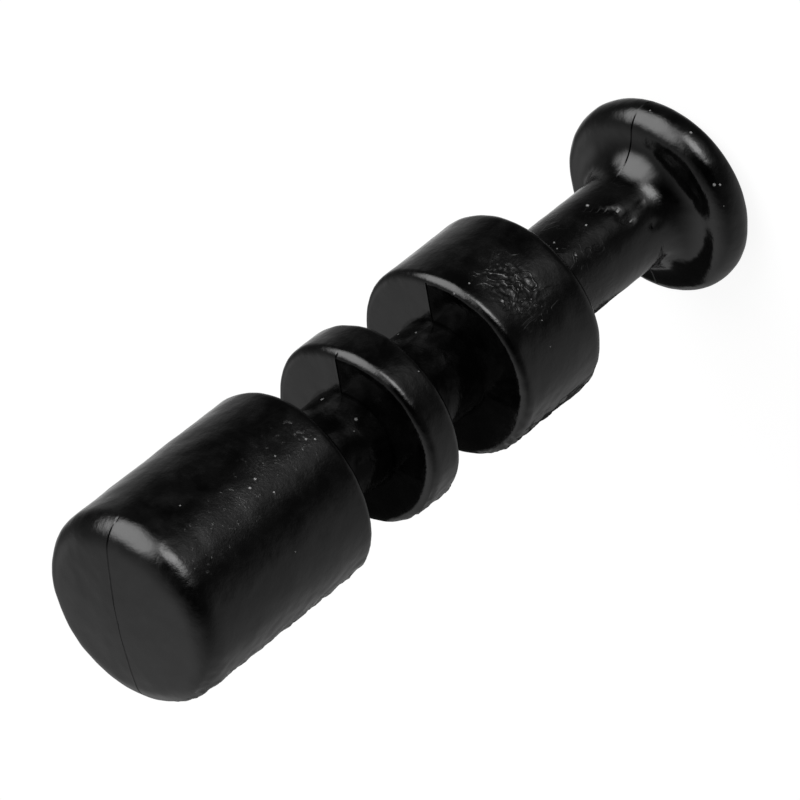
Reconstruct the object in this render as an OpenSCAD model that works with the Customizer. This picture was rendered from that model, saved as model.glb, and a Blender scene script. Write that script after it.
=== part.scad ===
// A one-piece moulded valve pin: a domed land, two seal grooves with a disc between them,
// a guide ring, a long stem and a mushroom head. It stands on its head, nose up.
// Sizes are in millimetres. The origin is the middle of the head's flat end, +Z runs to the nose.

/* [Nose land] */
// Diameter of the long land at the nose
nose_d = 7.8; // [6.6:0.05:9]
// Length of the nose land, from the groove face to the top of the dome
nose_length = 9.6; // [6:0.1:14]
// Radius of the shallow dome on the nose
dome_r = 20; // [12:0.5:60]
// Rounding between the dome and the side of the land
nose_round = 1.15; // [0.5:0.05:1.6]
// Rounding of the land's edge at the groove
nose_groove_edge = 0.4; // [0.15:0.05:0.8]

/* [Seal grooves] */
// Width of the groove behind the nose land
front_groove_width = 3; // [2:0.05:4.5]
// Width of the groove in front of the guide ring
rear_groove_width = 3; // [2:0.05:4.5]
// Diameter at the bottom of the front groove
front_groove_d = 3.9; // [3.2:0.05:5]
// Diameter at the bottom of the rear groove
rear_groove_d = 3.9; // [3.2:0.05:5]
// Fillet at the bottom corners of the grooves
groove_fillet = 0.1; // [0.05:0.05:0.4]

/* [Disc] */
// Diameter of the disc between the two grooves
disc_d = 7.45; // [6.4:0.05:9]
// Thickness of the disc
disc_thickness = 2.1; // [1.2:0.05:4]
// Rounding of the disc's edges
disc_edge = 0.42; // [0.15:0.01:0.55]

/* [Guide ring] */
// Diameter of the guide ring
ring_d = 7.8; // [6.6:0.05:9]
// Length of the guide ring
ring_length = 4.8; // [2.5:0.1:8]
// Rounding of the ring's edge at the groove
ring_groove_edge = 0.4; // [0.15:0.05:0.8]
// Rounding of the ring's edge at the stem
ring_stem_edge = 0.6; // [0.15:0.05:0.9]

/* [Stem] */
// Diameter of the stem
stem_d = 4; // [3.2:0.05:5]
// Length of the stem, from the ring's face to where the slope of the head would meet the stem
stem_length = 6.8; // [3.5:0.1:12]
// Radius of the sweep that flares the stem into the head, as far as the head leaves room for it
stem_flare = 1.4; // [0.4:0.05:1.5]

/* [Head] */
// Diameter of the mushroom head
head_d = 8; // [7.4:0.05:10]
// Radius of the head's round rim
rim_round = 0.95; // [0.5:0.05:1.2]
// Slope of the underside of the head, in degrees from square to the stem
head_slope = 12.5; // [8:0.5:30]

/* [Hidden] */
$fn = 128;

// Radii
nose_r = nose_d / 2;
front_groove_r = front_groove_d / 2;
rear_groove_r = rear_groove_d / 2;
disc_r = disc_d / 2;
ring_r = ring_d / 2;
stem_r = stem_d / 2;
head_r = head_d / 2;

// Head: centre of the rim's round, and the point where the sloped underside leaves it
rim_centre = [head_r - rim_round, rim_round];
slope_normal = [sin(head_slope), cos(head_slope)];
slope_start = rim_centre + rim_round * slope_normal;

// Height where the sloped underside, carried on, would meet the side of the stem
head_height = slope_start.y + (slope_start.x - stem_r) * tan(head_slope);

// Flare: a little of the slope always stays straight between it and the rim
least_slope = 0.05;
flare = min(stem_flare, (slope_start.x - stem_r - least_slope) / (1 - slope_normal.x));

// It touches the slope and the side of the stem, and swings about this centre
flare_centre = [
    stem_r + flare,
    slope_start.y + (flare - (stem_r + flare - slope_start.x) * slope_normal.x) / slope_normal.y
];
flare_start = flare_centre - flare * slope_normal;

// Faces of the lands, from the head up
ring_bottom = head_height + stem_length;
ring_top = ring_bottom + ring_length;
disc_bottom = ring_top + rear_groove_width;
disc_top = disc_bottom + disc_thickness;
nose_bottom = disc_top + front_groove_width;
nose_top = nose_bottom + nose_length;

// Nose: the dome's centre, the centre of the edge round that touches it, and where they touch
dome_centre = [0, nose_top - dome_r];
round_reach = [nose_r - nose_round, sqrt(pow(dome_r - nose_round, 2) - pow(nose_r - nose_round, 2))];
round_centre = dome_centre + round_reach;
dome_end = dome_centre + round_reach * dome_r / (dome_r - nose_round);

// Half section of a land between two heights, with a rounded lower and upper edge
module land_section(bottom, top, r, lower_edge, upper_edge) {
    polygon([
        [0, bottom],
        [r - lower_edge, bottom],
        [r - lower_edge, bottom + lower_edge],
        [r, bottom + lower_edge],
        [r, top - upper_edge],
        [r - upper_edge, top - upper_edge],
        [r - upper_edge, top],
        [0, top]
    ]);
    translate([r - lower_edge, bottom + lower_edge]) circle(lower_edge);
    translate([r - upper_edge, top - upper_edge]) circle(upper_edge);
}

// Half section of a plain waist between two heights
module waist_section(bottom, top, r) {
    translate([0, bottom]) square([r, top - bottom]);
}

// Section of the fillet where a waist meets a face, above it (side 1) or below it (side -1)
module fillet_section(face, r, fillet, side) {
    difference() {
        translate([r - fillet, min(face, face + side * fillet)]) square([2 * fillet, fillet]);
        translate([r + fillet, face + side * fillet]) circle(fillet);
    }
}

// Groove bottom between two faces, with a fillet in both corners
module groove_section(bottom, top, r) {
    waist_section(bottom, top, r);
    fillet_section(bottom, r, groove_fillet, 1);
    fillet_section(top, r, groove_fillet, -1);
}

// Mushroom head: flat end, round rim, sloped underside and the flare up to the stem
module head_section() {
    difference() {
        polygon([
            [0, 0],
            [rim_centre.x, 0],
            rim_centre,
            slope_start,
            flare_start,
            flare_centre,
            [stem_r, flare_centre.y],
            [0, flare_centre.y]
        ]);
        translate(flare_centre) circle(flare);
    }
    translate(rim_centre) circle(rim_round);
}

// Stem: plain from the flare to the ring's face, with a fillet at the face
module stem_section() {
    waist_section(flare_centre.y, ring_bottom, stem_r);
    fillet_section(ring_bottom, stem_r, groove_fillet, -1);
}

// Nose land: rounded groove edge, straight side, and a dome that runs into its edge round
module nose_section() {
    polygon([
        [0, nose_bottom],
        [nose_r - nose_groove_edge, nose_bottom],
        [nose_r - nose_groove_edge, nose_bottom + nose_groove_edge],
        [nose_r, nose_bottom + nose_groove_edge],
        [nose_r, round_centre.y],
        round_centre,
        [0, round_centre.y]
    ]);
    translate([nose_r - nose_groove_edge, nose_bottom + nose_groove_edge]) circle(nose_groove_edge);
    translate(round_centre) circle(nose_round);
    intersection() {
        polygon([[0, round_centre.y], round_centre, dome_end, [dome_end.x, nose_top], [0, nose_top]]);
        translate(dome_centre) circle(dome_r, $fn = 1024);
    }
}

// The pin is one moulding, round about its axis
module valve_pin() {
    color([0.06, 0.06, 0.065]) rotate_extrude() {
        head_section();
        stem_section();
        land_section(ring_bottom, ring_top, ring_r, ring_stem_edge, ring_groove_edge);
        groove_section(ring_top, disc_bottom, rear_groove_r);
        land_section(disc_bottom, disc_top, disc_r, disc_edge, disc_edge);
        groove_section(disc_top, nose_bottom, front_groove_r);
        nose_section();
    }
}

valve_pin();
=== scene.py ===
import math

import bpy
from mathutils import Matrix, Vector


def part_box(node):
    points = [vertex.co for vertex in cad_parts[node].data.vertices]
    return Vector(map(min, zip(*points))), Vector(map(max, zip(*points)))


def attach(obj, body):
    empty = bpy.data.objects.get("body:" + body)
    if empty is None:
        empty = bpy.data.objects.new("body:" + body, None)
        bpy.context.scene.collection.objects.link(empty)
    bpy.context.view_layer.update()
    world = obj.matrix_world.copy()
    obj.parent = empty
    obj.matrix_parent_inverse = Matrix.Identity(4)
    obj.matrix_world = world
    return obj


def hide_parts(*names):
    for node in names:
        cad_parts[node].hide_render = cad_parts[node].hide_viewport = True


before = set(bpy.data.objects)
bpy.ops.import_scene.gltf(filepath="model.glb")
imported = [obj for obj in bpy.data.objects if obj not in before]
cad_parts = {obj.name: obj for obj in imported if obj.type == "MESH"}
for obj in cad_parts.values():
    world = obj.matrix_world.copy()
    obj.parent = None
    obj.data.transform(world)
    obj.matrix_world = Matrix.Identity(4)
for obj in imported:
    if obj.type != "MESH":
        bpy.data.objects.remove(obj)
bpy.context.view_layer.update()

low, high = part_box("valve_pin")
MM = 0.001

# Sizes of the moulding in millimetres: the head and the overall length come from the frame
HEAD_R = (high.x - low.x) / 2 / MM
NOSE_TOP = high.z / MM
NOSE_R = 3.9
NOSE_LENGTH = 9.6
NOSE_ROUND = 1.15
DOME_R = 20
LAND_EDGE = 0.4
GROOVE_R = 1.95
GROOVE_WIDTH = 3
DISC_R = 3.725
DISC_THICKNESS = 2.1
DISC_EDGE = 0.42
RING_R = 3.9
RING_LENGTH = 4.8
RING_STEM_EDGE = 0.6
STEM_R = 2
STEM_FLARE = 1.4
RIM_ROUND = 0.95
HEAD_SLOPE = 12.5

# Heights of the faces above the flat end, from the nose down
NOSE_BOTTOM = NOSE_TOP - NOSE_LENGTH
DISC_TOP = NOSE_BOTTOM - GROOVE_WIDTH
DISC_BOTTOM = DISC_TOP - DISC_THICKNESS
RING_TOP = DISC_BOTTOM - GROOVE_WIDTH
RING_BOTTOM = RING_TOP - RING_LENGTH

# Fineness of the mesh: points along the section, and steps round the axis
POINT_SPACING = 0.13
FLAT_END_SPACING = 0.5
ROUND_STEP = 9
STEPS_ROUND = 256

# Parting line: the two mould halves meet in the plane y = 0
SEAM_HALF_WIDTH = 0.03
SEAM_DEPTH = 0.03

# Draft of the groove faces, in degrees, so that each mould half could be drawn off along y.
# It fades out along the side of a land and along the bottom of a groove.
DRAFT = 3
DRAFT_EDGE = 0.4
DRAFT_FADE = 0.6

# Marks on the skin. A place is a height above the flat end and an angle round the axis.
SCUFF = (11.65, -37)
SCUFF_REACH = (1.0, 1.75)
SCUFF_DEPTH = 0.055
STEM_FLOW = [(5.3, -8), (5.0, -18), (4.75, -26), (4.45, -33), (4.55, -41), (4.3, -52)]
STEM_FLOW_WIDTH = 0.11
STEM_FLOW_DEPTH = 0.07
PITS = [(3.39, -72.6, 0.22), (2.81, -126.8, 0.3), (3.44, -43.6, 0.16), (4.15, -47, 0.3)]
PIT_DEPTH = 0.06
RAGGED_ANGLE = -138
RAGGED_REACH = 34
RAGGED_DEPTH = 0.13
WAVINESS = 0.035

# How the pin lies in the picture, in degrees: its axis from the picture's level, its lean towards
# the viewer, and the turn of the parting line from the picture's upper side of the pin
AXIS_TURN = 38.4135
AXIS_LEAN = 35.4015
SEAM_TURN = 42.278

# Camera: its distance from the nose's top, where the top shows, and the lens on its sensor
NOSE_DISTANCE = 236.97
NOSE_SHOWS_LEFT = 9.833
NOSE_SHOWS_BELOW = 7.770
SENSOR = 36
LENS = 306.5


def turned(direction_seen):
    """A direction given as right, up and towards the viewer, turned into the pin's own frame."""
    return view_turn @ Vector(direction_seen)


def viewing_turn():
    """Rotation from the camera's axes to the pin's."""
    turn, lean, seam = (math.radians(a) for a in (AXIS_TURN, AXIS_LEAN, SEAM_TURN))
    to_head = Vector((math.cos(turn) * math.cos(lean), math.sin(turn) * math.cos(lean), -math.sin(lean)))
    upper_side = Vector((-math.sin(turn), math.cos(turn), 0))
    facing = to_head.cross(upper_side)
    seam_way = upper_side * math.cos(seam) + facing * math.sin(seam)
    to_nose = -to_head
    return Matrix((seam_way, to_nose.cross(seam_way), to_nose))


view_turn = viewing_turn()


def only(obj):
    """Makes one object the selected and active one."""
    bpy.ops.object.select_all(action="DESELECT")
    obj.select_set(True)
    bpy.context.view_layer.objects.active = obj


# Section of the pin

def arc(centre_r, centre_z, radius, start, end):
    """Points of a round, by angles in degrees: 0 points outwards and 90 towards the nose."""
    steps = max(3, round(abs(end - start) / ROUND_STEP), round(math.radians(abs(end - start)) * radius / POINT_SPACING))
    angles = (math.radians(start + (end - start) * i / steps) for i in range(steps + 1))
    return [(centre_r + radius * math.cos(a), centre_z + radius * math.sin(a)) for a in angles]


def head_section():
    """Flat end, round rim, sloped underside and the flare up to the stem."""
    slope = math.radians(HEAD_SLOPE)
    rim_r = HEAD_R - RIM_ROUND
    slope_r = rim_r + RIM_ROUND * math.sin(slope)
    slope_z = RIM_ROUND + RIM_ROUND * math.cos(slope)
    flare_r = STEM_R + STEM_FLARE
    flare_z = slope_z + (STEM_FLARE - (flare_r - slope_r) * math.sin(slope)) / math.cos(slope)
    rim = arc(rim_r, RIM_ROUND, RIM_ROUND, -90, 90 - HEAD_SLOPE)
    flare = arc(flare_r, flare_z, STEM_FLARE, -90 - HEAD_SLOPE, -180)
    return rim + flare


def land(bottom, top, r, lower_edge, upper_edge):
    """Side of a land between its two rounded edges."""
    return arc(r - lower_edge, bottom + lower_edge, lower_edge, -90, 0) + arc(
        r - upper_edge, top - upper_edge, upper_edge, 0, 90
    )


def nose_section():
    """Side of the nose, its round and the shallow dome."""
    reach_r = NOSE_R - NOSE_ROUND
    reach_z = math.sqrt((DOME_R - NOSE_ROUND) ** 2 - reach_r**2)
    dome_z = NOSE_TOP - DOME_R
    meet = math.degrees(math.atan2(reach_z, reach_r))
    edge = arc(NOSE_R - LAND_EDGE, NOSE_BOTTOM + LAND_EDGE, LAND_EDGE, -90, 0)
    nose_round = arc(reach_r, dome_z + reach_z, NOSE_ROUND, 0, meet)
    dome = arc(0, dome_z, DOME_R, meet, 90)
    return edge + nose_round + dome


def pin_section():
    """Half section from the middle of the flat end to the top of the nose, with its straights filled."""
    corners = [(0, 0)] + head_section()
    corners += [(STEM_R, RING_BOTTOM)]
    corners += land(RING_BOTTOM, RING_TOP, RING_R, RING_STEM_EDGE, LAND_EDGE)
    corners += [(GROOVE_R, RING_TOP), (GROOVE_R, DISC_BOTTOM)]
    corners += land(DISC_BOTTOM, DISC_TOP, DISC_R, DISC_EDGE, DISC_EDGE)
    corners += [(GROOVE_R, DISC_TOP), (GROOVE_R, NOSE_BOTTOM)]
    corners += nose_section()
    points = [Vector(corners[0])]
    for corner in map(Vector, corners[1:]):
        start = points[-1]
        length = (corner - start).length
        if length < 1e-5:
            continue
        on_flat_end = start.y == 0 and corner.y < 1e-6
        pieces = math.ceil(length / (FLAT_END_SPACING if on_flat_end else POINT_SPACING * 1.3))
        points += [start.lerp(corner, (i + 1) / pieces) for i in range(pieces)]
    points[-1].x = 0
    return points


def draw_section(name, points):
    """A chain of edges through the section's points, drawn by extruding one vertex."""
    bpy.ops.object.select_all(action="DESELECT")
    bpy.ops.mesh.primitive_plane_add(size=MM, location=(points[0].x * MM, 0, points[0].y * MM))
    pin = bpy.context.object
    pin.name = name
    only(pin)
    bpy.ops.object.transform_apply(location=True, rotation=True, scale=True)
    bpy.ops.object.mode_set(mode="EDIT")
    bpy.ops.mesh.select_mode(type="VERT")
    bpy.ops.mesh.select_all(action="SELECT")
    bpy.ops.mesh.merge(type="CENTER")
    for before, after in zip(points, points[1:]):
        step = (after - before) * MM
        bpy.ops.mesh.extrude_vertices_move(TRANSFORM_OT_translate={"value": (step.x, 0, step.y)})
    return pin


def spin_section():
    """Spins the chain once round the axis and closes the seam and both poles."""
    bpy.ops.mesh.select_all(action="SELECT")
    bpy.ops.mesh.spin(steps=STEPS_ROUND, angle=2 * math.pi, center=(0, 0, 0), axis=(0, 0, 1))
    bpy.ops.mesh.select_all(action="SELECT")
    bpy.ops.mesh.remove_doubles(threshold=0.0002 * MM)
    bpy.ops.mesh.normals_make_consistent(inside=False)


def select_points(pin, wanted):
    """Selects the vertices whose place, in millimetres, passes a test."""
    bpy.ops.mesh.select_all(action="DESELECT")
    bpy.ops.object.mode_set(mode="OBJECT")
    for point in pin.data.vertices:
        point.select = wanted(point.co / MM)
    bpy.ops.object.mode_set(mode="EDIT")
    bpy.ops.mesh.select_mode(type="VERT")


def shows_seam(at):
    """The parting line shows on the dome, the faces, the rims and the head, not along straight sides."""
    out = math.hypot(at.x, at.y)
    on_nose = at.z > NOSE_TOP - 1.0
    on_head = 0.2 < at.z < 3.1
    on_faces = GROOVE_R + 0.05 < out < DISC_R - 0.1 and RING_BOTTOM - 0.1 < at.z < NOSE_BOTTOM + 0.1
    return abs(at.y) < 1e-4 and (on_nose or on_head or on_faces)


def sink_parting_line(pin):
    """Cuts a line on each side of the plane y = 0 and sinks the points between them."""
    for side in (-1, 1):
        bpy.ops.mesh.select_all(action="SELECT")
        bpy.ops.mesh.bisect(plane_co=(0, side * SEAM_HALF_WIDTH * MM, 0), plane_no=(0, 1, 0), threshold=1e-8)
    select_points(pin, shows_seam)
    bpy.ops.transform.shrink_fatten(value=-SEAM_DEPTH * MM)


# Moulding marks

def fade(value, start, length):
    """1 up to the start, then down to 0 over the length."""
    return min(1, max(0, 1 - (value - start) / length))


def angle_of(at):
    return math.degrees(math.atan2(at.y, at.x))


def skin_offset(at, place):
    """How far a point lies from a place on the skin, round the axis and along it."""
    turn = (angle_of(at) - place[1] + 180) % 360 - 180
    return math.radians(turn) * math.hypot(at.x, at.y), at.z - place[0]


def draft_share(at, face, way):
    """How much of the draft a point near a face takes; way is 1 where the face looks to the nose."""
    under = (face - at.z) * way
    share = fade(under, DRAFT_EDGE, DRAFT_FADE) if under >= 0 else fade(-under, 0, DRAFT_FADE)
    return share * abs(at.y) / RING_R


def flow_share(at):
    """Share of the wandering flow line on the stem."""
    if math.hypot(at.x, at.y) > STEM_R + 0.8:
        return 0
    nearest = 9
    for start, end in zip(STEM_FLOW, STEM_FLOW[1:]):
        across, along = skin_offset(at, start)
        reach = Vector((math.radians(end[1] - start[1]) * STEM_R, end[0] - start[0]))
        part = min(1, max(0, Vector((across, along)).dot(reach) / reach.length_squared))
        nearest = min(nearest, (Vector((across, along)) - reach * part).length)
    return math.exp(-((nearest / STEM_FLOW_WIDTH) ** 2))


def pit_share(at):
    """Share of the small pits where the stem meets the head, and on the stem."""
    return max(math.exp(-((math.hypot(*skin_offset(at, pit)) / pit[2]) ** 2)) for pit in PITS)


def scuff_share(at):
    """Share of the scuffed patch on the guide ring."""
    if not RING_BOTTOM + 0.6 < at.z < RING_TOP - 0.4:
        return 0
    across, along = skin_offset(at, SCUFF)
    return fade(math.hypot(across / SCUFF_REACH[1], along / SCUFF_REACH[0]), 0.6, 0.5)


def ragged_share(at):
    """Share of the ragged side of the nose, the disc and the guide ring."""
    if at.z < RING_BOTTOM + 0.2 or math.hypot(at.x, at.y) < DISC_R - 0.1:
        return 0
    return fade(abs(skin_offset(at, (at.z, RAGGED_ANGLE))[0]) / RING_R, 0, math.radians(RAGGED_REACH))


def clouds(name, grain, depth):
    """A cloudy pattern for pushing the skin about, with its grain in millimetres."""
    pattern = bpy.data.textures.new(name, "CLOUDS")
    pattern.noise_scale = grain * MM
    pattern.noise_depth = depth
    pattern.contrast = 1.6
    return pattern


def push_skin(pin, name, share, distance, direction="NORMAL", pattern=None):
    """Pushes the skin by a distance in millimetres times the share of each point, where it has one."""
    group = pin.vertex_groups.new(name=name)
    for point in pin.data.vertices:
        weight = share(point.co / MM)
        if weight > 0.002:
            group.add([point.index], weight, "REPLACE")
    push = pin.modifiers.new(name, "DISPLACE")
    push.vertex_group = name
    push.direction = direction
    push.strength = distance * MM
    push.mid_level = 0
    if pattern:
        push.texture = pattern
        push.texture_coords = "LOCAL"
    only(pin)
    bpy.ops.object.modifier_apply(modifier=name)
    pin.vertex_groups.remove(pin.vertex_groups[name])


def mark_skin(pin):
    """The draft of the groove faces, and the flow line, pits, scuffs and waviness of the skin."""
    slant = RING_R * math.tan(math.radians(DRAFT))
    for name, face, way in (
        ("draft_ring", RING_TOP, 1),
        ("draft_disc_low", DISC_BOTTOM, -1),
        ("draft_disc_top", DISC_TOP, 1),
        ("draft_nose", NOSE_BOTTOM, -1),
    ):
        push_skin(pin, name, lambda at: draft_share(at, face, way), -way * slant, "Z")
    push_skin(pin, "flow_line", flow_share, -STEM_FLOW_DEPTH)
    push_skin(pin, "pits", pit_share, -PIT_DEPTH)
    push_skin(pin, "scuffs", scuff_share, -SCUFF_DEPTH, pattern=clouds("scuff_clouds", 0.22, 2))
    push_skin(pin, "ragged_side", ragged_share, -RAGGED_DEPTH, pattern=clouds("ragged_clouds", 0.4, 2))
    push_skin(pin, "waviness", lambda at: fade(-at.z, -0.4, 0.4), -WAVINESS, pattern=clouds("wavy_clouds", 1.3, 2))


def make_pin():
    """The whole moulding as one closed mesh."""
    pin = draw_section("pin_moulding", pin_section())
    spin_section()
    sink_parting_line(pin)
    select_points(pin, lambda at: scuff_share(at) > 0)
    bpy.ops.mesh.subdivide(number_cuts=2)
    bpy.ops.object.mode_set(mode="OBJECT")
    mark_skin(pin)
    only(pin)
    bpy.ops.object.shade_smooth_by_angle(angle=math.radians(30))
    return pin


# Shader desk

class Wire:
    """An output of a shader node. Sums on it add Math nodes."""

    def __init__(self, desk, socket):
        self.desk = desk
        self.socket = socket

    def sum(self, operation, *values):
        return self.desk.node("ShaderNodeMath", {"operation": operation}, dict(enumerate(values)))

    def __add__(self, other):
        return self.sum("ADD", self, other)

    def __radd__(self, other):
        return self.sum("ADD", other, self)

    def __sub__(self, other):
        return self.sum("SUBTRACT", self, other)

    def __rsub__(self, other):
        return self.sum("SUBTRACT", other, self)

    def __mul__(self, other):
        return self.sum("MULTIPLY", self, other)

    def __rmul__(self, other):
        return self.sum("MULTIPLY", other, self)

    def __truediv__(self, other):
        return self.sum("DIVIDE", self, other)

    def __pow__(self, other):
        return self.sum("POWER", self, other)

    def __rtruediv__(self, other):
        return self.sum("DIVIDE", other, self)

    def exp(self):
        return self.sum("EXPONENT", self)

    def abs(self):
        return self.sum("ABSOLUTE", self)

    def least(self, other):
        return self.sum("MINIMUM", self, other)

    def most(self, other):
        return self.sum("MAXIMUM", self, other)

    def between(self, start, end):
        """Up from 0 to 1 as the value goes from start to end, smoothly."""
        settings = {"interpolation_type": "SMOOTHSTEP"}
        return self.desk.node("ShaderNodeMapRange", settings, {"Value": self, "From Min": start, "From Max": end})


class Desk:
    """The node tree of one material or world, emptied and ready."""

    def __init__(self, owner):
        owner.use_nodes = True
        self.tree = owner.node_tree
        self.tree.nodes.clear()

    def node(self, kind, settings=(), sockets=(), output=0):
        made = self.tree.nodes.new(kind)
        for name, value in dict(settings).items():
            if name == "stops":
                self.set_stops(made.color_ramp, value)
            else:
                setattr(made, name, value)
        for name, value in dict(sockets).items():
            if isinstance(value, Wire):
                self.tree.links.new(value.socket, made.inputs[name])
            else:
                made.inputs[name].default_value = value
        return Wire(self, made.outputs[output]) if made.outputs else made

    def set_stops(self, ramp, stops):
        while len(ramp.elements) < len(stops):
            ramp.elements.new(1)
        for element, (place, shade) in zip(ramp.elements, stops):
            element.position = place
            element.color = (shade, shade, shade, 1)


# Dust and bright nicks: height above the flat end, angle round the axis, distance from the axis and size
SPECKS = [
    (28.6, -19.3, 3.9, 0.05),
    (26.13, -35.6, 3.9, 0.07),
    (25.7, -33.5, 3.9, 0.07),
    (25.5, -45.0, 3.9, 0.06),
    (24.4, -30.5, 3.9, 0.05),
    (22.97, -33.6, 3.9, 0.06),
    (22.7, -36.6, 3.9, 0.06),
    (19.35, 15.5, 1.95, 0.09),
    (19.43, -35.5, 1.95, 0.09),
    (19.86, -44.1, 1.95, 0.05),
    (17.27, -42.1, 3.725, 0.05),
    (18.84, -91.7, 3.37, 0.09),
    (14.65, 28.8, 1.95, 0.06),
    (14.5, 4.8, 1.95, 0.06),
    (13.7, -19.5, 3.74, 0.11),
    (13.3, -46.0, 3.9, 0.05),
    (12.96, -21.5, 3.9, 0.05),
    (12.55, -40.8, 3.9, 0.08),
    (12.2, -30.2, 3.9, 0.05),
    (11.9, -47.5, 3.9, 0.05),
    (11.78, -42.1, 3.9, 0.06),
    (11.3, -33.6, 3.9, 0.06),
    (11.05, -44.6, 3.9, 0.05),
    (7.46, -17.5, 2.0, 0.06),
    (7.25, -43.8, 2.0, 0.06),
    (5.9, -25.2, 2.0, 0.06),
    (5.02, -6.5, 2.0, 0.08),
    (3.4, -72.6, 2.3, 0.08),
    (1.49, -63.1, 3.81, 0.07),
    (1.33, -64.7, 3.92, 0.06),
    (1.12, -6.2, 4.0, 0.06),
    (0.95, -32.6, 4.0, 0.07),
]


def spot(at, height, angle, out, size):
    """1 within a small spot at a place, fading at its edge."""
    turn = math.radians(angle)
    middle = (out * math.cos(turn), out * math.sin(turn), height)
    away = at.desk.node("ShaderNodeVectorMath", {"operation": "DISTANCE"}, {0: at, 1: middle}, output="Value")
    return 1 - away.between(size * 0.5, size)


def band(value, middle, reach, soft):
    """1 where a value lies within reach of the middle, fading over the soft width."""
    return 1 - (value - middle).abs().between(reach - soft, reach + soft)


def hairs(desk, at, scale, squeeze, sharpness):
    """Fine wandering scratches: the narrow crests of a squeezed noise."""
    stretched = desk.node("ShaderNodeVectorMath", {"operation": "MULTIPLY"}, {0: at, 1: squeeze})
    wander = desk.node("ShaderNodeTexNoise", {}, {"Vector": stretched, "Scale": scale, "Detail": 2, "Distortion": 1.2})
    return (1 - (wander - 0.5).abs() * 8).most(0) ** sharpness


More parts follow.
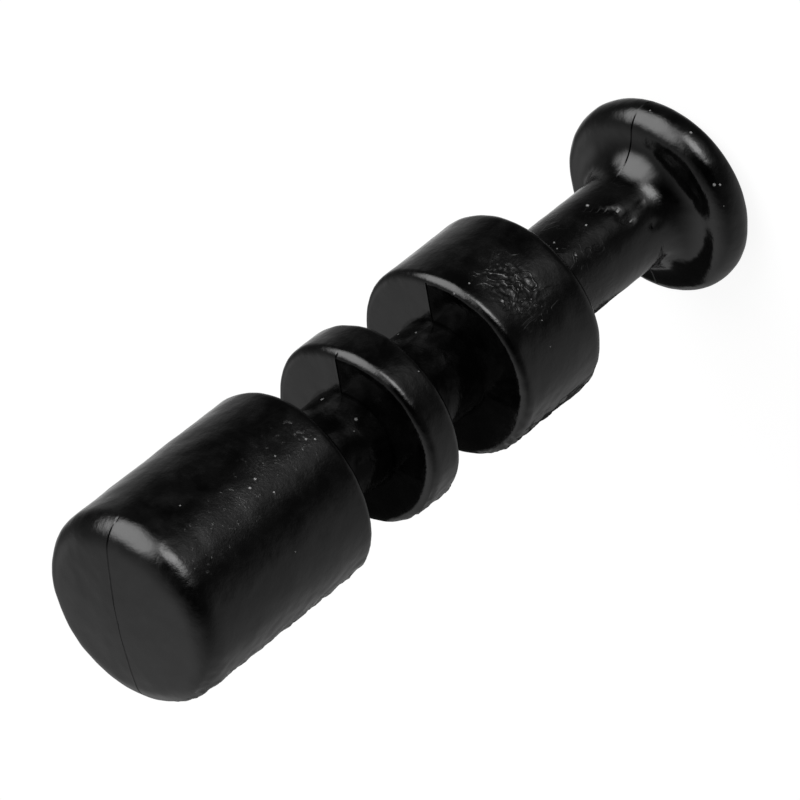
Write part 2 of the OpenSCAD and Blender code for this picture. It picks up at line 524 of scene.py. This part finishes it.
def black_plastic():
    """Glossy black moulded plastic with a fine grain, worn patches, hair scratches and dust, and painted shade in the
    grooves.
    """
    material = bpy.data.materials.new("black_moulded_plastic")
    desk = Desk(material)
    place = desk.node("ShaderNodeTexCoord", output="Object")
    at = desk.node("ShaderNodeVectorMath", {"operation": "SCALE"}, {0: place, "Scale": 1 / MM})
    x, y, z = (desk.node("ShaderNodeSeparateXYZ", {}, {0: at}, output=name) for name in ("X", "Y", "Z"))
    angle = desk.node("ShaderNodeMath", {"operation": "ARCTAN2"}, {0: y, 1: x}) * (180 / math.pi)

    grain = desk.node("ShaderNodeTexNoise", {}, {"Vector": at, "Scale": 9, "Detail": 3, "Roughness": 0.6})
    mottle = desk.node("ShaderNodeTexNoise", {}, {"Vector": at, "Scale": 1.1, "Detail": 5, "Roughness": 0.62})
    patches = mottle.between(0.42, 0.68)
    clouding = {"Vector": at, "Scale": 0.6, "Detail": 4, "Roughness": 0.65, "Distortion": 0.6}
    haze = desk.node("ShaderNodeTexNoise", {}, clouding).between(0.4, 0.62) * 0.6 + patches * 0.4
    long_hairs = hairs(desk, at, 2.6, (1, 1, 0.45), 2)
    fine_hairs = hairs(desk, at, 5.5, (1, 0.7, 0.8), 1.5)
    wrinkles = hairs(desk, at, 0.9, (1, 1, 0.8), 7)

    # The lands' sides, the groove bottoms and the stem are less even than the dome and the faces
    out = (x * x + y * y) ** 0.5
    below_nose = 1 - z.between(NOSE_BOTTOM - 0.1, NOSE_BOTTOM)
    sides = out.between(3.0, 3.5) + (1 - out.between(2.1, 2.4)) * below_nose

    # Worn band along the nose, scuffed patch on the guide ring, dull end of the stem
    nose_band = band(angle + (z - 26) * 2.2, -36, 12, 7) * z.between(NOSE_BOTTOM + 0.3, NOSE_BOTTOM + 1)
    nose_band = nose_band * (1 - z.between(NOSE_TOP - 1.6, NOSE_TOP - 1.1))
    ring_patch = band(angle, SCUFF[1], 22, 9) * band(z, SCUFF[0], 1.0, 0.4)
    stem_end = z.between(5.75, 6.0) * (1 - z.between(RING_BOTTOM - 0.4, RING_BOTTOM))
    lands = z.between(RING_BOTTOM, RING_BOTTOM + 0.2)
    worn = nose_band * 0.9 + ring_patch + lands * patches * 0.25 + stem_end * 0.35
    scratches = (long_hairs * 0.4 + fine_hairs * 0.5) * worn * haze * grain.between(0.4, 0.6)
    fuzz = desk.node("ShaderNodeTexNoise", {}, {"Vector": at, "Scale": 3.2, "Detail": 4, "Roughness": 0.7})
    # Sparkle: bright flecks in the worn bands; in the height they are small nicks, in the colour a painted glint
    sparkle = desk.node("ShaderNodeTexNoise", {}, {"Vector": at, "Scale": 4.3, "Detail": 1}).between(0.62, 0.68)
    sparkle = sparkle * (nose_band + ring_patch) * fuzz.between(0.5, 0.6)

    dust = sum(spot(at, *speck) for speck in SPECKS)
    cells = desk.node("ShaderNodeTexVoronoi", {}, {"Vector": at, "Scale": 1.1})
    chosen = desk.node("ShaderNodeTexVoronoi", {}, {"Vector": at, "Scale": 1.1}, output="Color")
    chosen = desk.node("ShaderNodeSeparateColor", {}, {0: chosen})
    dust = (dust + (1 - cells.between(0.02, 0.045)) * chosen.between(0.8, 0.85) * 0.6).least(1)

    # Painted shade in the grooves: the groove bottoms, in blotches, and the groove walls on the y < 0 half are mixed
    # towards a matt black that stands in for the shade under the pin
    in_grooves = z.between(RING_TOP - 0.3, RING_TOP) * (1 - z.between(NOSE_BOTTOM, NOSE_BOTTOM + 0.3))
    bottoms = in_grooves * (1 - out.between(GROOVE_R + 0.05, GROOVE_R + 0.15))
    walls = in_grooves * (1 - out.between(DISC_R - DISC_EDGE - 0.3, DISC_R - 0.2)) * (1 - y.between(-0.05, 0.05))
    painted_groove_shade = (bottoms * 0.1 + walls * 0.3 + bottoms * (1 - haze) * 0.45).least(0.85)

    roughness = 0.11 + grain * 0.03 + patches * 0.05 + worn * 0.04 + scratches * 0.1 + dust * 0.4
    height = grain * 0.0016 + (mottle - 0.5) * (sides * 0.019 + 0.008) + scratches * 0.006 + sparkle * 0.006
    height = height + (fuzz - 0.5) * (nose_band * 0.006 + sides * 0.0055)
    height = height + wrinkles * (ring_patch * 1.2 + stem_end * 0.4) * 0.013 + dust * 0.03
    bump = desk.node("ShaderNodeBump", {}, {"Height": height, "Strength": 1.0, "Distance": MM})
    shade = 0.0005 + haze * 0.003 + worn * 0.003 + scratches * 0.012 + sparkle * 0.02 + dust * 0.2
    colour = desk.node("ShaderNodeCombineColor", {}, {0: shade, 1: shade, 2: shade})
    surface = desk.node(
        "ShaderNodeBsdfPrincipled", {}, {"Base Color": colour, "Roughness": roughness, "IOR": 1.55, "Normal": bump}
    )
    painted_shade_black = desk.node("ShaderNodeBsdfDiffuse", {}, {"Color": (0.001, 0.001, 0.001, 1)})
    both = desk.node("ShaderNodeMixShader", {}, {0: painted_groove_shade, 1: surface, 2: painted_shade_black})
    desk.node("ShaderNodeOutputMaterial", {}, {"Surface": both})
    return material


# Studio

FLOOR_R = 3
SHADOW_REACH = 0.12
FLOOR_GLOW = 0.9
FLOOR_SHADE = 0.2

# Painted shade card, a dim sheet that stands in for the shade under the pin: its distance from the axis, how far it
# lies aside, the height of its middle, and its size.
# It reaches further aside near the head than beside the lands, and its edges are soft.
CARD_OUT = 4.6
CARD_ASIDE = 4
CARD_HEIGHT = 13.5
CARD_WIDE = 12
CARD_TALL = 25
CARD_LEVEL = 0.03
CARD_FAR_SIDE = 7.5
CARD_STEP = 2.6
CARD_SOFT = 0.9


def make_floor():
    """A white floor at the height of the flat end. The camera alone sees it, and it keeps the shadow."""
    bpy.ops.object.select_all(action="DESELECT")
    bpy.ops.mesh.primitive_circle_add(vertices=96, radius=FLOOR_R, fill_type="NGON", location=(0, 0, 0))
    floor = bpy.context.object
    floor.name = "floor"
    material = bpy.data.materials.new("white_floor")
    desk = Desk(material)
    place = desk.node("ShaderNodeTexCoord", output="Object")
    out = desk.node("ShaderNodeVectorMath", {"operation": "LENGTH"}, {0: place}, output="Value")
    near = (out * (-1 / SHADOW_REACH)).exp()
    glow = desk.node("ShaderNodeEmission", {}, {"Color": (1, 1, 1, 1), "Strength": 1 - near * (1 - FLOOR_GLOW)})
    shade_colour = desk.node("ShaderNodeCombineColor", {}, {i: near * FLOOR_SHADE for i in range(3)})
    shade = desk.node("ShaderNodeBsdfDiffuse", {}, {"Color": shade_colour})
    both = desk.node("ShaderNodeAddShader", {}, {0: glow, 1: shade})
    desk.node("ShaderNodeOutputMaterial", {}, {"Surface": both})
    floor.data.materials.append(material)
    floor.visible_diffuse = False
    floor.visible_glossy = False
    floor.visible_transmission = False
    floor.visible_shadow = False


def make_painted_shade_card():
    """A dimly glowing sheet low behind the pin: painted shade standing in for the shade under the pin. Only reflections
    see it.
    """
    facing = math.radians(SEAM_TURN + 90)
    bpy.ops.object.select_all(action="DESELECT")
    bpy.ops.mesh.primitive_plane_add(size=1)
    card = bpy.context.object
    card.name = "painted_shade_card"
    out = Vector((math.cos(facing), math.sin(facing), 0))
    aside = Vector((0, 0, 1)).cross(out)
    card.matrix_world = Matrix((aside * CARD_WIDE * MM, Vector((0, 0, CARD_TALL * MM)), -out * MM)).transposed().to_4x4()
    card.location = (out * CARD_OUT + aside * CARD_ASIDE + Vector((0, 0, CARD_HEIGHT))) * MM
    only(card)
    bpy.ops.object.transform_apply(location=True, rotation=True, scale=True)
    material = bpy.data.materials.new("painted_shade_card")
    desk = Desk(material)
    place = desk.node("ShaderNodeTexCoord", output="Object")
    beside = desk.node("ShaderNodeVectorMath", {"operation": "DOT_PRODUCT"}, {0: place, 1: aside / MM}, output="Value")
    height = desk.node("ShaderNodeSeparateXYZ", {}, {0: place}, output="Z") * (1 / MM)
    near_side = CARD_ASIDE - CARD_WIDE / 2
    inside = beside.between(near_side, near_side + CARD_SOFT)
    beside = beside + height.between(10, 14) * CARD_STEP
    inside = inside * (1 - beside.between(CARD_FAR_SIDE - CARD_SOFT, CARD_FAR_SIDE))
    inside = inside * (1 - (height - CARD_HEIGHT).abs().between(CARD_TALL / 2 - CARD_SOFT, CARD_TALL / 2))
    clear = desk.node("ShaderNodeBsdfTransparent")
    glow = desk.node("ShaderNodeEmission", {}, {"Color": (1, 1, 1, 1), "Strength": CARD_LEVEL})
    both = desk.node("ShaderNodeMixShader", {}, {0: inside, 1: clear, 2: glow})
    desk.node("ShaderNodeOutputMaterial", {}, {"Surface": both})
    card.data.materials.append(material)
    card.visible_camera = False
    card.visible_diffuse = False
    card.visible_transmission = False
    card.visible_shadow = False


def make_room(glows, level):
    """A light tent: a dim level and soft glows, each with its direction as seen, half angle, strength and edge."""
    world = bpy.data.worlds.new("studio_room")
    bpy.context.scene.world = world
    desk = Desk(world)
    way = desk.node("ShaderNodeTexCoord", output="Generated")
    way = desk.node("ShaderNodeVectorMath", {"operation": "NORMALIZE"}, {0: way})
    light = level
    for direction_seen, half_angle, strength, edge in glows:
        middle = turned(direction_seen).normalized()
        facing = desk.node("ShaderNodeVectorMath", {"operation": "DOT_PRODUCT"}, {0: way, 1: middle}, output="Value")
        away = ((1 - facing) / (1 - math.cos(math.radians(half_angle)))).most(0)
        light = (away**edge * -math.log(2)).exp() * strength + light
    to_camera = desk.node("ShaderNodeLightPath", output="Is Camera Ray")
    strength = desk.node("ShaderNodeMix", {"data_type": "FLOAT"}, {0: to_camera, 2: light.most(0), 3: 1.0})
    back = desk.node("ShaderNodeBackground", {}, {"Color": (1, 1, 1, 1), "Strength": strength})
    desk.node("ShaderNodeOutputWorld", {}, {"Surface": back})


def make_camera():
    """The camera at the photographed angle, with a long lens."""
    lens = bpy.data.cameras.new("camera")
    lens.sensor_width = SENSOR
    lens.lens = LENS
    lens.clip_start = 0.01
    lens.clip_end = 20
    camera = bpy.data.objects.new("camera", lens)
    bpy.context.collection.objects.link(camera)
    camera.matrix_world = view_turn.to_4x4()
    from_nose = Vector((NOSE_SHOWS_LEFT, NOSE_SHOWS_BELOW, NOSE_DISTANCE))
    camera.location = Vector((0, 0, NOSE_TOP * MM)) + turned(from_nose) * MM
    bpy.context.scene.camera = camera


bpy.context.scene.view_settings.view_transform = "Standard"
make_camera()
make_floor()
make_painted_shade_card()
make_room(
    [
        ((-0.62, 0.60, 0.51), 31, 3.8, 2.7),
        ((0.25, 0.55, 0.80), 14.5, 5.2, 1.6),
        ((0.38, 0.62, 0.69), 23, 0.49, 2.5),
        ((-0.51, -0.85, 0.15), 44, 0.61, 1),
        ((-0.84, -0.18, -0.51), 13, 0.24, 1),
        ((-0.28, -0.56, -0.78), 14, 0.30, 1),
        ((-0.04, 0.16, -0.99), 15, 0.60, 1),
        ((-0.25, 0.60, -0.76), 14, 0.18, 1),
        ((0.62, 0.72, 0.31), 12, 0.20, 1),
        ((0.80, -0.42, -0.42), 45, 0.27, 2.5),
        ((-0.02, -0.42, 0.91), 26, -0.20, 1),
    ],
    0.02,
)

pin = make_pin()
pin.data.materials.append(black_plastic())
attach(pin, "root")
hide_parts("valve_pin")
